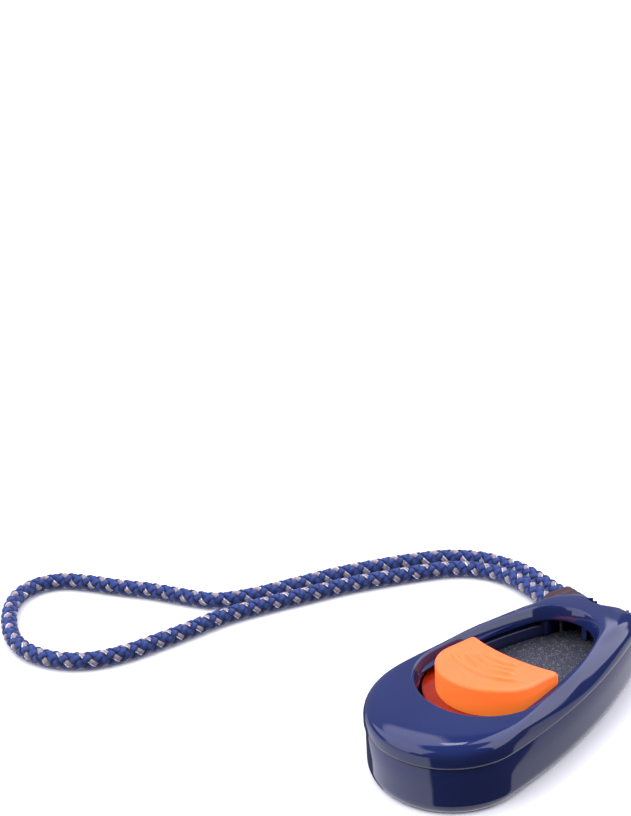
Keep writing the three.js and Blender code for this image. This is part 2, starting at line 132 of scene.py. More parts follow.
def make_camera():
    data = bpy.data.cameras.new("camera")
    data.lens = 60.49
    data.sensor_width = 36
    camera = add_object("camera", data)
    look = (CAMERA_AIM - CAMERA_PLACE).to_track_quat("-Z", "Y")
    turned = look @ Quaternion((0, 0, 1), CAMERA_ROLL)
    camera.matrix_world = Matrix.Translation(CAMERA_PLACE) @ turned.to_matrix().to_4x4()
    bpy.context.scene.camera = camera


make_camera()

# ---------------------------------------------------------------- materials


def srgb(red, green, blue):
    """A colour given as 0 to 255, as the linear colour that a shader takes."""
    values = [c / 255 for c in (red, green, blue)]
    return tuple(c / 12.92 if c <= 0.04045 else ((c + 0.055) / 1.055) ** 2.4 for c in values)


def math_node(tree, operation, *values):
    made = tree.nodes.new("ShaderNodeMath")
    made.operation = operation
    for socket, value in zip(made.inputs, values):
        if isinstance(value, (int, float)):
            socket.default_value = value
        else:
            tree.links.new(value, socket)
    return made.outputs[0]


class Material:
    """A Principled material with helpers for the procedural detail on it."""

    def __init__(self, name, **sockets):
        self.made = bpy.data.materials.new(name)
        self.made.use_nodes = True
        self.tree = self.made.node_tree
        self.shader = self.tree.nodes["Principled BSDF"]
        for socket, value in sockets.items():
            self.set(socket.replace("_", " ").title(), value)
        self.place = self.node("ShaderNodeTexCoord").outputs["Object"]
        self.height = None

    def set(self, socket, value):
        if socket == "Ior":
            socket = "IOR"
        if isinstance(value, tuple) and socket != "Subsurface Radius":
            value = (*value, 1.0)
        self.shader.inputs[socket].default_value = value

    def node(self, kind, **settings):
        made = self.tree.nodes.new(kind)
        for key, value in settings.items():
            if hasattr(made, key):
                setattr(made, key, value)
            else:
                made.inputs[key.replace("_", " ").title()].default_value = value
        return made

    def link(self, output, socket):
        self.tree.links.new(output, socket)

    def noise(self, scale, detail=3.0, roughness=0.5, place=None):
        made = self.node("ShaderNodeTexNoise")
        made.inputs["Scale"].default_value = scale
        made.inputs["Detail"].default_value = detail
        made.inputs["Roughness"].default_value = roughness
        self.link(place or self.place, made.inputs["Vector"])
        return made.outputs["Fac"]

    def cells(self, scale):
        made = self.node("ShaderNodeTexVoronoi")
        made.inputs["Scale"].default_value = scale
        self.link(self.place, made.inputs["Vector"])
        return made

    def ramp(self, value, *stops):
        made = self.node("ShaderNodeValToRGB")
        elements = made.color_ramp.elements
        while len(elements) < len(stops):
            elements.new(0.5)
        for element, (at, color) in zip(elements, stops):
            element.position = at
            element.color = (*color, 1.0)
        self.link(value, made.inputs["Fac"])
        return made.outputs["Color"]

    def spread(self, value, low, high):
        """A 0 to 1 value moved to the range from low to high."""
        made = self.node("ShaderNodeMapRange")
        made.inputs["To Min"].default_value = low
        made.inputs["To Max"].default_value = high
        self.link(value, made.inputs["Value"])
        return made.outputs["Result"]

    def bump(self, height, distance, strength=1.0):
        made = self.node("ShaderNodeBump")
        made.inputs["Distance"].default_value = distance
        made.inputs["Strength"].default_value = strength
        self.link(height, made.inputs["Height"])
        if self.height is not None:
            self.link(self.height, made.inputs["Normal"])
        self.height = made.outputs["Normal"]
        self.link(self.height, self.shader.inputs["Normal"])

    def base(self, color):
        self.link(color, self.shader.inputs["Base Color"])

    def rough(self, value):
        self.link(value, self.shader.inputs["Roughness"])


def navy_gloss():
    """Gloss injection moulding: faint flow marks, a little dust and handling haze."""
    m = Material("navy_gloss", roughness=0.1, ior=1.5)
    tone = m.noise(70, 4)
    m.base(m.ramp(tone, (0.35, srgb(25, 36, 81)), (0.7, srgb(28, 39, 86))))
    m.rough(m.spread(m.noise(900, 5, 0.65), 0.03, 0.08))
    m.bump(m.noise(260, 2), 0.00001, 0.5)
    return m.made


def navy_satin():
    """The inner frame's satin moulding."""
    m = Material("navy_satin", roughness=0.3, ior=1.5)
    m.base(m.ramp(m.noise(120, 3), (0.3, srgb(24, 31, 68)), (0.7, srgb(29, 37, 78))))
    m.rough(m.spread(m.noise(1500, 4), 0.24, 0.4))
    m.bump(m.noise(5200, 2), 0.000012, 0.6)
    return m.made


def coral_satin_painted_glow():
    """Soft satin moulding that light enters a little, with a painted glow: a weak orange emission
    that brightens its shaded sides though it is no lamp.
    """
    m = Material(
        "coral_satin_painted_glow",
        roughness=0.42,
        ior=1.48,
        subsurface_weight=1.0,
        subsurface_radius=(1.0, 0.35, 0.15),
        subsurface_scale=0.006,
        # Painted glow: the moulding gives off a little orange light of its own.
        emission_color=(1.0, 0.33, 0.03),
        emission_strength=0.4,
    )
    m.base(m.ramp(m.noise(90, 3), (0.3, srgb(255, 93, 56)), (0.7, srgb(255, 99, 62))))
    m.rough(m.spread(m.noise(2400, 4, 0.6), 0.36, 0.5))
    m.bump(m.noise(6500, 3), 0.00001, 0.7)
    return m.made


def amber_clear():
    """Translucent orange-red moulding: the blade's grain shows faintly through it."""
    m = Material("amber_clear", roughness=0.16, ior=1.46, transmission_weight=0.72)
    m.base(m.ramp(m.noise(220, 3), (0.3, srgb(226, 60, 22)), (0.7, srgb(238, 74, 32))))
    m.bump(m.noise(1800, 2), 0.000012, 0.5)
    return m.made


def blade_steel():
    """Textured spring steel: a coarse sparkling grain with darker pits."""
    m = Material("blade_steel", metallic=0.8, roughness=0.4)
    grains = m.cells(6400)
    fine = m.noise(6800, 3, 0.7)
    shade = m.ramp(
        grains.outputs["Color"],
        (0.2, srgb(62, 64, 74)),
        (0.75, srgb(86, 88, 100)),
        (0.97, srgb(205, 206, 216)),
    )
    m.base(shade)
    m.rough(m.spread(fine, 0.25, 0.6))
    m.bump(grains.outputs["Distance"], 0.00009, 0.9)
    m.bump(fine, 0.00006, 0.8)
    return m.made


def black_rubber():
    m = Material("black_rubber", roughness=0.8)
    m.base(m.ramp(m.noise(400, 4), (0.3, srgb(26, 26, 28)), (0.7, srgb(38, 38, 41))))
    m.rough(m.spread(m.noise(2600, 4), 0.68, 0.92))
    m.bump(m.noise(3800, 4), 0.00003, 0.8)
    return m.made


def screw_steel():
    m = Material("screw_steel", metallic=1.0, roughness=0.3)
    m.base(m.ramp(m.noise(800, 4), (0.3, srgb(165, 166, 170)), (0.7, srgb(196, 197, 200))))
    m.rough(m.spread(m.noise(3000, 5), 0.2, 0.45))
    m.bump(m.noise(5200, 2), 0.000008, 0.7)
    return m.made


def maroon_sleeve():
    """Moulded dark maroon-brown sleeve with a fine matt grain."""
    m = Material("maroon_sleeve", roughness=0.5)
    m.base(m.ramp(m.noise(500, 4), (0.3, srgb(48, 24, 33)), (0.7, srgb(60, 32, 42))))
    m.rough(m.spread(m.noise(2200, 4), 0.38, 0.62))
    m.bump(m.noise(4200, 3), 0.00003, 0.7)
    return m.made


def yarn(name, dark, light, sheen, roughness=0.7, edge=0.3):
    """Fibrous yarn: filaments along it, with painted shade: darker towards its edges, where it
    tucks under its neighbours, and on its side towards the cord's core; edge sets how light that
    painted shade stays.
    """
    m = Material(name, roughness=roughness, sheen_weight=sheen, sheen_roughness=0.4)
    along = m.node("ShaderNodeAttribute", attribute_name="yarn").outputs["Vector"]
    stretch = m.node("ShaderNodeMapping")
    stretch.inputs["Scale"].default_value = (9.0, 2.0, 0.9)
    m.link(along, stretch.inputs["Vector"])
    fibres = m.noise(1.0, 4, 0.7, stretch.outputs["Vector"])
    parts = m.node("ShaderNodeSeparateXYZ")
    m.link(along, parts.inputs[0])
    # Painted shade: lighter on the side facing out of the cord, darker on the side towards its
    # core.
    facing = m.spread(parts.outputs["Y"], edge, 1.0)
    # Painted shade: darker towards the yarn's two edges, where it tucks under its neighbours.
    middle = m.spread(math_node(m.tree, "ABSOLUTE", parts.outputs["X"]), 1.15, 0.35 + edge / 2)
    shade = math_node(m.tree, "MULTIPLY", facing, middle)
    # The painted shade, times the fibres' own tone.
    fibres_and_painted_shade = math_node(m.tree, "MULTIPLY", shade, m.spread(fibres, 0.25, 1.55))
    m.base(m.ramp(fibres_and_painted_shade, (0.15, dark), (0.95, light)))
    m.bump(fibres, 0.00012, 0.9)
    return m.made


def glint():
    """The reflective filament beside each grey yarn."""
    m = Material("glint", metallic=0.7, roughness=0.3)
    m.base(m.ramp(m.noise(1500, 3), (0.35, srgb(120, 118, 128)), (0.6, srgb(250, 250, 255))))
    m.bump(m.noise(3500, 2), 0.00003, 0.5)
    return m.made


MATERIALS = {
    "navy_gloss": navy_gloss(),
    "dark_plastic": navy_satin(),
    "coral_soft": coral_satin_painted_glow(),
    "amber_clear": amber_clear(),
    "blade_steel": blade_steel(),
    "black_rubber": black_rubber(),
    "screw_steel": screw_steel(),
    "maroon_sleeve": maroon_sleeve(),
    "blue_braid": yarn("blue_braid", srgb(6, 9, 27), srgb(42, 66, 136), 0.1),
    "tracer": yarn("tracer", srgb(66, 60, 72), srgb(146, 134, 148), 0.2, 0.45, 0.75),
    "glint": glint(),
    "string_fibre": yarn("string_fibre", srgb(40, 37, 31), srgb(92, 86, 74), 0.15, 0.75, 0.6),
}

# ---------------------------------------------------------------- mesh helpers


def finish_mesh(obj, sharp=35):
    """Outward normals, smooth faces, and sharp edges past an angle."""
    made = bmesh.new()
    made.from_mesh(obj.data)
    bmesh.ops.recalc_face_normals(made, faces=made.faces)
    made.to_mesh(obj.data)
    made.free()
    obj.data.polygons.foreach_set("use_smooth", [True] * len(obj.data.polygons))
    obj.data.set_sharp_from_angle(angle=math.radians(sharp))
    return obj


def new_object(name, points, faces):
    """A mesh object from points in millimetres."""
    mesh = bpy.data.meshes.new(name)
    mesh.from_pydata([(x * MM, y * MM, z * MM) for x, y, z in points], [], faces)
    return finish_mesh(add_object(name, mesh))


def place(obj, body, slot, nodes=(), *extra):
    """Gives a finished piece its material, its body and the CAD nodes it stands for."""
    indices = np.zeros(len(obj.data.polygons), int)
    obj.data.polygons.foreach_get("material_index", indices)
    obj.data.materials.clear()
    for material in (MATERIALS[slot], *extra):
        obj.data.materials.append(material)
    obj.data.polygons.foreach_set("material_index", indices if extra else 0 * indices)
    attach(obj, body)
    if nodes:
        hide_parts(*nodes)
    return obj


def combine(obj, other, operation):
    """obj joined with, cut by or kept inside another object, which is then gone."""
    modifier = obj.modifiers.new("combine", "BOOLEAN")
    modifier.operation = operation
    modifier.object = other
    modifier.solver = "MANIFOLD"
    graph = bpy.context.evaluated_depsgraph_get()
    made = bpy.data.meshes.new_from_object(obj.evaluated_get(graph))
    obj.modifiers.clear()
    obj.data = made
    bpy.data.objects.remove(other)
    return obj


def cut(obj, other):
    return combine(obj, other, "DIFFERENCE")


def join(obj, other):
    return combine(obj, other, "UNION")


def arc(x, y, radius, start, end, steps):
    angles = [start + (end - start) * i / steps for i in range(steps + 1)]
    return [(x + radius * math.cos(a), y + radius * math.sin(a)) for a in angles]


def oval(outline, by=0.0):
    """An outline's points, moved outwards by a distance; point n is alike on every outline."""
    back = outline["back"] + outline["back_r"]
    front = outline["front"] - outline["front_r"]
    span = front - back
    to_back = outline["side_r"] - outline["back_r"]
    to_front = outline["side_r"] - outline["front_r"]
    along = (to_back**2 - to_front**2 + span**2) / (2 * span)
    drop = math.sqrt(to_back**2 - along**2)
    side = back + along
    at_back = math.atan2(drop, back - side)
    at_front = math.atan2(drop, front - side)
    front_r, side_r, back_r = (outline[k] + by for k in ("front_r", "side_r", "back_r"))
    return (
        arc(front, 0, front_r, -at_front, at_front, RING["front"])[:-1]
        + arc(side, -drop, side_r, at_front, at_back, RING["side"])[:-1]
        + arc(back, 0, back_r, at_back, TURN - at_back, RING["back"])[:-1]
        + arc(side, drop, side_r, -at_back, -at_front, RING["side"])[:-1]
    )


def level(outline, z):
    return [(x, y, z) for x, y in outline]


def skin_faces(rings, count, ring_again=False):
    """The faces over rings of count points; the ends are capped unless the skin joins itself."""
    pairs = [(i, i + 1) for i in range(rings - 1)]
    if ring_again:
        pairs.append((rings - 1, 0))
    faces = [
        (a * count + i, a * count + (i + 1) % count, b * count + (i + 1) % count, b * count + i)
        for a, b in pairs
        for i in range(count)
    ]
    if not ring_again:
        last = (rings - 1) * count
        faces += [tuple(range(count)), tuple(range(last, last + count))]
    return faces


def loft(name, rings, ring_again=False):
    """A closed skin over rings with equal counts."""
    points = [p for ring in rings for p in ring]
    return new_object(name, points, skin_faces(len(rings), len(rings[0]), ring_again))


def turned(name, profile, x=0.0, y=0.0, sides=72):
    """A closed solid of revolution about a vertical axis, from (radius, z) points."""
    rings = [level(arc(x, y, radius, 0, TURN, sides)[:-1], z) for radius, z in profile]
    return loft(name, rings)


def prism(name, outline, low, high, edge=0.0, segments=3):
    """An upright prism; edge rounds the rims of both ends."""
    obj = loft(name, [level(outline, low), level(outline, high)])
    if edge:
        made = bmesh.new()
        made.from_mesh(obj.data)
        rims = [e for e in made.edges if abs(e.verts[0].co.z - e.verts[1].co.z) < 1e-7]
        bmesh.ops.bevel(
            made, geom=rims, offset=edge * MM, segments=segments, profile=0.5, affect="EDGES"
        )
        made.to_mesh(obj.data)
        made.free()
        finish_mesh(obj)
    return obj


def block(name, x, y, z):
    corners = [(x[0], y[0]), (x[1], y[0]), (x[1], y[1]), (x[0], y[1])]
    return prism(name, corners, *z)


def mirrored(points):
    return [(x, -y) for x, y in reversed(points)]


# ---------------------------------------------------------------- lanyard

STRING_ROUTE = [
    (41.8, 0, 6.05),
    (42.9, 0.4, 5.8),
    (43.4, 1.7, 5.2),
    (42.9, 3.4, 4.4),
    (41.5, 5.1, 3.6),
    (40.2, 6.9, 2.9),
    (39.95, 8.9, 2.7),
    (40.27, 10.4, 2.7),
]

# The lanyard's loop from above, out of the clasp and back into it.
CORD_LOOP = [
    (42.61, 10.67), (45.51, 21.69), (48.4, 32.72), (49.3, 40.5), (47.6, 48.3),
    (43.2, 55), (36.6, 60.3), (28, 65.6), (18.0, 70.8), (7.0, 75.3),
    (-3.5, 79.8), (-10.4, 84.6), (-13.8, 91.3), (-17.6, 100.9), (-22.4, 110.2),
    (-26.0, 118.0), (-29.8, 123.8), (-35.0, 126.6), (-41.0, 125.8), (-46.4, 121.7),
    (-50.9, 115.4), (-54.2, 108.3), (-55.1, 101.0), (-53.2, 93.4), (-48.2, 86.6),
    (-40.5, 82.5), (-32.5, 80.6), (-24.0, 79.0), (-14.0, 77.2), (-4.0, 73.6),
    (6.2, 69.2), (16.6, 64.6), (24.6, 60), (31.8, 55.6), (38, 51.2),
    (42.2, 46.2), (44.3, 40.6), (44.15, 33.84), (41.25, 22.81), (38.36, 11.78),
]
IN_SLEEVES = 3  # points at each end of the loop that lie at the sleeves' height
CORD_ROUTE = [
    (x, y, CORD_Z if IN_SLEEVES <= i < len(CORD_LOOP) - IN_SLEEVES else SLEEVE_Z)
    for i, (x, y) in enumerate(CORD_LOOP)
]


def smooth_line(route, step):
    """Points a step apart along the centripetal Catmull-Rom curve through a route."""
    given = [np.array(p, float) for p in route]
    given = [2 * given[0] - given[1], *given, 2 * given[-1] - given[-2]]
    fine = []
    for p0, p1, p2, p3 in zip(given, given[1:], given[2:], given[3:]):
        t1 = np.linalg.norm(p1 - p0) ** 0.5
        t2 = t1 + np.linalg.norm(p2 - p1) ** 0.5
        t3 = t2 + np.linalg.norm(p3 - p2) ** 0.5
        for t in np.linspace(t1, t2, 24, endpoint=False):
            a1 = p0 + (p1 - p0) * t / t1
            a2 = p1 + (p2 - p1) * (t - t1) / (t2 - t1)
            a3 = p2 + (p3 - p2) * (t - t2) / (t3 - t2)
            b1 = a1 + (a2 - a1) * t / t2
            b2 = a2 + (a3 - a2) * (t - t1) / (t3 - t1)
            fine.append(b1 + (b2 - b1) * (t - t1) / (t2 - t1))
    fine = np.array([*fine, given[-2]])
    run = np.concatenate([[0], np.cumsum(np.linalg.norm(np.diff(fine, axis=0), axis=1))])
    at = np.linspace(0, run[-1], int(run[-1] / step) + 1)
    return at, np.stack([np.interp(at, run, fine[:, k]) for k in range(3)], axis=1)


def unit(vectors):
    return vectors / np.linalg.norm(vectors, axis=1)[:, None]


def line_frame(line):
    """Unit tangents, and the two directions across a line that lies nearly flat."""
    ahead = unit(np.gradient(line, axis=0))
    across = unit(np.cross((0, 0, 1.0), ahead))
    return ahead, across, np.cross(ahead, across)


def swept(centre, wide, thick, half_width, half_thick, sides=8):
    """Points, faces and yarn coordinates of an oval tube that is closed at both ends."""
    count = len(centre)
    angles = np.arange(sides) * TURN / sides
    points = (
        centre[:, None]
        + half_width * np.cos(angles)[None, :, None] * wide[:, None]
        + half_thick * np.sin(angles)[None, :, None] * thick[:, None]
    ).reshape(-1, 3)
    run = np.concatenate([[0], np.cumsum(np.linalg.norm(np.diff(centre, axis=0), axis=1))])
    # Across the yarn, out of the cord, and along the yarn; the first two place the yarn material's
    # painted shade.
    yarn = np.stack(
        [np.tile(np.cos(angles) * half_width, count), np.tile(np.sin(angles), count),
         np.repeat(run, sides)], axis=1,
    )
    return points, skin_faces(count, sides), yarn


class Bundle:
    """Tubes that end up in one mesh, each with its own material index."""

    def __init__(self):
        self.points, self.faces, self.indices, self.yarn = [], [], [], []

    def add(self, points, faces, yarn, index=0, shift=0):
        start = len(self.points)
        self.points += [tuple(p) for p in points]
        self.faces += [tuple(start + i for i in face) for face in faces]
        self.indices += [index] * len(faces)
        self.yarn += [(x, y, z + 40 * shift) for x, y, z in yarn]

    def made(self, name):
        obj = new_object(name, self.points, self.faces)
        obj.data.polygons.foreach_set("material_index", self.indices)
        stored = obj.data.attributes.new("yarn", "FLOAT_VECTOR", "POINT")
        stored.data.foreach_set("vector", np.array(self.yarn, float).ravel())
        return obj


CARRIERS = 4  # yarns that go round each way
BRAID_PITCH = 10.6
BRAID_RADIUS = 1.3  # to the middle of a yarn, between its overs and unders
BRAID_WAVE = 0.3
YARN_HALF = (0.86, 0.44)
TRACER_HALF_WIDE = 0.62
TRACERS = (0, 2)  # grey yarns among those that go round the first way


def braided_cord():
    """Eight flat yarns, half of them going round each way and passing over and under."""
    at, line = smooth_line(CORD_ROUTE, 0.42)
    ahead, across, up = line_frame(line)
    bundle = Bundle()
    half_wide, half_thick = YARN_HALF
    for way in (1, -1):
        for n in range(CARRIERS):
            angle = way * TURN * at / BRAID_PITCH + TURN * n / CARRIERS
            waves = np.cos(TURN * CARRIERS * at / BRAID_PITCH)
            radius = (BRAID_RADIUS + BRAID_WAVE * way * waves)[:, None]
            out = np.cos(angle)[:, None] * across + np.sin(angle)[:, None] * up
            centre = line + radius * out
            wide = unit(np.cross(unit(np.gradient(centre, axis=0)), out))
            tracer = way == 1 and n in TRACERS
            half = TRACER_HALF_WIDE if tracer else half_wide
            bundle.add(*swept(centre, wide, out, half, half_thick, 12), int(tracer), n + 1)
            if tracer:
                glint = centre + 0.5 * wide + 0.36 * out
                bundle.add(*swept(glint, wide, out, 0.13, 0.09, 6), 2)
    # The core under the yarns, in the blue yarn's material, with the same painted shade: lighter on
    # its top, darker underneath and at its sides.
    bundle.add(*swept(line, across, up, 1.0, 1.0, 10), 0)
    cord = place(
        bundle.made("braided_cord"), "casing", "blue_braid", ["lanyard_cord"],
        MATERIALS["tracer"], MATERIALS["glint"],
    )
    return cord, line, at[-1]


def twisted_string(name, at, line, radius, pitch):
    """Two thin strands twisted round each other along a line."""
    ahead, across, up = line_frame(line)
    bundle = Bundle()
    for half in (0, 1):
        angle = TURN * at / pitch + math.pi * half
        out = np.cos(angle)[:, None] * across + np.sin(angle)[:, None] * up
        side = np.cross(ahead, out)
        bundle.add(*swept(line + radius * out, side, out, radius, radius))
    return bundle.made(name)


def lanyard_string():
    at, line = smooth_line(STRING_ROUTE, 0.2)
    return place(
        twisted_string("lanyard_string_tails", at, line, 0.44, 5.0),
        "casing", "string_fibre", ["lanyard_string"],
    )


def string_hitch():
    """The string's two turns round the eyelet's rim, and the small wrapped knot before it."""
    low, high = LUG_LOW_Z - 0.75, LUG_HIGH_Z + 0.75
    back, front = 35.1, CASE["front"] + 0.75
    radius = 0.5
    corner = 0.6
    loop = []
    for x, z, start in (
        (front - corner, high - corner, 0),
        (back + corner, high - corner, 0.25),
        (back + corner, low + corner, 0.5),
        (front - corner, low + corner, 0.75),
    ):
        loop += arc(x, z, corner, TURN * start, TURN * (start + 0.25), 6)
    loop += loop[:1]
    bundle = Bundle()
    for y in (-0.47, 0.47):
        line = np.array([(x, y, z) for x, z in loop])
        run = unit(np.gradient(line, axis=0))
        beside = np.tile((0, 1.0, 0), (len(line), 1))
        bundle.add(*swept(line, beside, np.cross(run, beside), 0.48, radius))
    # The knot: three close turns round the tails.
    turns, middle = 3, (LUG_LOW_Z + LUG_HIGH_Z) / 2
    spin = np.linspace(0, TURN * turns, 72)
    line = np.stack(
        [39.15 + 0.62 * spin / TURN, 0.82 * np.cos(spin), middle + 0.82 * np.sin(spin)], axis=1
    )
    run = unit(np.gradient(line, axis=0))
    out = np.stack([0 * spin, np.cos(spin), np.sin(spin)], axis=1)
    bundle.add(*swept(line, np.cross(run, out), out, 0.48, 0.48))
    # The tails inside the knot, as far as the twisted string.
    tail = np.linspace((38.6, 0, middle), (42.0, 0, 6.05), 8)
    _, across, up = line_frame(tail)
    bundle.add(*swept(tail, across, up, 0.62, 0.62))
    return place(bundle.made("string_hitch_knot"), "casing", "string_fibre", ["string_hitch"])


def stadium(half_width, half_height, steps=16):
    centre = half_width - half_height
    quarter = math.pi / 2
    return arc(centre, 0, half_height, -quarter, quarter, steps) + arc(
        -centre, 0, half_height, quarter, 3 * quarter, steps
    )


def on_strands(section, along):
    """A section across the strands, placed a distance along them from the clasp's front."""
    across = Vector((-SLEEVE_AHEAD.y, SLEEVE_AHEAD.x, 0))
    start = SLEEVE_START + SLEEVE_AHEAD * along
    return [tuple(start + across * x + Vector((0, 0, z))) for x, z in section]


def sleeve(name, start, length, bore, ribs):
    """A moulded sleeve with rounded ends and shallow ribs; bore is None, or its wall."""
    half_width, half_height = SLEEVE_HALF
    steps = 40
    rings = []
    for i in range(steps + 1):
        along = length * i / steps
        to_end = min(along, length - along)
        if to_end < SLEEVE_EDGE:
            shrink = SLEEVE_EDGE - math.sqrt(SLEEVE_EDGE**2 - (SLEEVE_EDGE - to_end) ** 2)
        else:
            shrink = SLEEVE_RIB * (0.5 - 0.5 * math.cos(TURN * ribs * along / length))
        rings.append(on_strands(stadium(half_width - shrink, half_height - shrink), start + along))
    if bore is None:
        return loft(name, rings)
    hole = stadium(half_width - bore, half_height - bore)
    rings += [on_strands(hole, start + length), on_strands(hole, start)]
    return loft(name, rings, ring_again=True)


def lanyard_clasp():
    clasp = sleeve("cord_clasp", 0, CLASP_LENGTH, None, 2)
    for side, start, end, radius in (
        (STRAND_OFFSET, 2.0, 9, CORD_R + 0.12),
        (-STRAND_OFFSET, 2.0, 9, CORD_R + 0.12),
        (0, -3, 2.5, 1.2),
    ):
        section = [(side + radius * math.cos(a), radius * math.sin(a))
                   for a in (TURN * i / 32 for i in range(32))]
        socket = loft("socket", [on_strands(section, start), on_strands(section, end)])
        cut(clasp, socket)
    return place(finish_mesh(clasp), "casing", "maroon_sleeve", ["lanyard_clasp"])


def lanyard_adjuster():
    made = sleeve("cord_adjuster", CLASP_LENGTH + GAP, ADJUSTER_LENGTH, 0.45, 4)
    return place(made, "adjuster", "maroon_sleeve", ["lanyard_adjuster"])


cord, cord_line, cord_length = braided_cord()
on_cord = [lanyard_string(), string_hitch(), lanyard_clasp(), lanyard_adjuster()]

# ---------------------------------------------------------------- casing

DOME_LOW_Z = 11.3  # where the side starts to curve in
DOME_RISE = TOP_Z - DOME_LOW_Z
OVERHANG = 0.35  # how far the top shell stands out past the bottom shell
LIP_OUT = 1.6  # the lip's crown, outside the well's wall
# How each stretch of the top curves: the shoulder's roll, the roll's power, the width of the
# crown beside the lip, and how far the slope between them falls.
FLANK = {"roll": 2.4, "power": 2.15, "crown": 0.9, "drop": 2.3}
NOSE = {"roll": 8.0, "power": 1.55, "crown": 9.0, "drop": 1.4}
NOSE_CUT = [(30.5, 15.3), (35.4, 10.57)]  # the slope that ends the top shell, as (x, z)
BACK_STARTS, BACK_FULL = -5, -25  # the x over which the flanks blend into the flat back end
NOSE_STARTS, NOSE_FULL = 21, 33


def eased(value, start, end):
    share = max(0.0, min(1.0, (value - start) / (end - start)))
    return share * share * (3 - 2 * share)


def rolled(share, power):
    """A rounded edge's height, from 0 at its foot to 1 where share is 1."""
    return (1 - (1 - min(1.0, share)) ** power) ** (1 / power)


def sloped(inwards, span, roll, power, crown, drop):
    """The height above the side wall: a roll, then a slope that levels off at the crown."""
    to_lip = span - inwards
    crown = min(crown, 0.9 * span)
    fall = to_lip - crown / 2 if to_lip > crown else to_lip**2 / (2 * crown)
    height = DOME_RISE - drop * fall / (span - crown / 2)
    return height * rolled(inwards / roll, power)


def dome_rings(roll_steps=16, slope_steps=18):
    """The top shell's outer skin: up from the side wall, over the shoulder, up to the crown."""
    outside, inside = oval(CASE), oval(WELL, LIP_OUT)
    spans = [math.dist(a, b) for a, b in zip(outside, inside)]
    narrow, wide = min(spans), max(spans)
    rings = []
    for step in range(roll_steps + slope_steps + 1):
        ring = []
        for (ax, ay), (bx, by), span in zip(outside, inside, spans):
            roominess = (span - narrow) / (wide - narrow)
            first = 0.5 * span
            if step <= roll_steps:
                inwards = first * (1 - math.cos(math.pi / 2 * step / roll_steps))
            else:
                inwards = first + (span - first) * (step - roll_steps) / slope_steps
            height = sloped(inwards, span, **FLANK)
            nose = eased(ax, NOSE_STARTS, NOSE_FULL)
            height += (sloped(inwards, span, **NOSE) - height) * nose
            back = eased(ax, BACK_STARTS, BACK_FULL)
            flat = DOME_RISE * rolled(inwards / span, 2.1 + 1.7 * roominess)
            height += (flat - height) * back
            share = inwards / span
            ring.append((ax + (bx - ax) * share, ay + (by - ay) * share, DOME_LOW_Z + height))
        rings.append(ring)
    return rings


def wall_rings(outline, profile):
    return [level(oval(outline, by), z) for by, z in profile]


def scoop_cutter(low, high):
    """The round scoop at the eyelet, with a rounded foot."""
    profile = [(SCOOP_R - 0.5, low), (SCOOP_R - 0.15, low + 0.15), (SCOOP_R, low + 0.5),
               (SCOOP_R, high)]
    return turned("scoop", profile, EYELET_X)


def nose_cutter():
    """What lies above the slope that ends the top shell."""
    (x, z), (front_x, front_z) = NOSE_CUT
    back_x, past_x, past_z = x - 5.2, 45, 25
    outline = [(back_x, past_z), (back_x, z + 5), (x, z), (front_x, front_z),
               (past_x, front_z - 5), (past_x, past_z)]
    return loft("above_nose", [[(a, y, b) for a, b in reversed(outline)] for y in (-25, 25)])


def top_shell():
    foot = SPLIT_Z + GAP / 2
    dome = dome_rings()
    side = wall_rings(CASE, [(-0.3, foot), (-0.1, foot + 0.04), (0, foot + 0.2)])
    lip = wall_rings(
        WELL,
        [(1.45, 15.27), (1.3, 15.18), (1.17, 15.03), (1.05, 14.84), (0.93, 14.62), (0.8, 14.36),
         (0.66, 14.05), (0.53, 13.73), (0.4, 13.38), (0.28, 13.02), (0.18, 12.7), (0.12, 12.45),
         (0.14, 12.32), (0.28, SKIRT_LOW_Z), (1.1, SKIRT_LOW_Z), (1.3, SKIRT_LOW_Z + 0.2),
         (1.3, ROOF_Z - 0.3), (1.5, ROOF_Z)],
    )
    rebate = -0.7
    inside = wall_rings(
        CASE,
        [(-5.2, ROOF_Z), (-4.2, ROOF_Z - 0.1), (-3.0, ROOF_Z - 0.6), (-2.2, ROOF_Z - 1.3),
         (-WALL, 11.8), (rebate, 11.8), (rebate, foot)],
    )
    shell = loft("top_casing", [*side, *dome, *lip, *inside], ring_again=True)
    # The wall round the scoop, kept to the casing's outside.
    wall = turned("scoop_wall", [(SCOOP_WALL_R, foot), (SCOOP_WALL_R, 20)], EYELET_X)
    join(shell, combine(wall, loft("outside", [*side, *dome]), "INTERSECT"))
    cut(shell, nose_cutter())
    cut(shell, scoop_cutter(5, 25))
    join(shell, block("rib", RIB_X, RIB_Y, (BLADE_HIGH_Z + GAP, SKIRT_LOW_Z + 0.5)))
    for x, y in CASE_SCREWS:
        boss = turned("boss", [(BOSS_R, LEDGE_Z + 2 * GAP), (BOSS_R, ROOF_Z + 0.5)], x, y, 32)
        join(shell, combine(boss, loft("outside", [*side, *dome]), "INTERSECT"))
        pilot = [(CASE_SCREW_HOLE_R, 0), (CASE_SCREW_HOLE_R, 11.8)]
        cut(shell, turned("pilot", pilot, x, y, 24))
    return place(finish_mesh(shell), "casing", "navy_gloss", ["top_shell"])


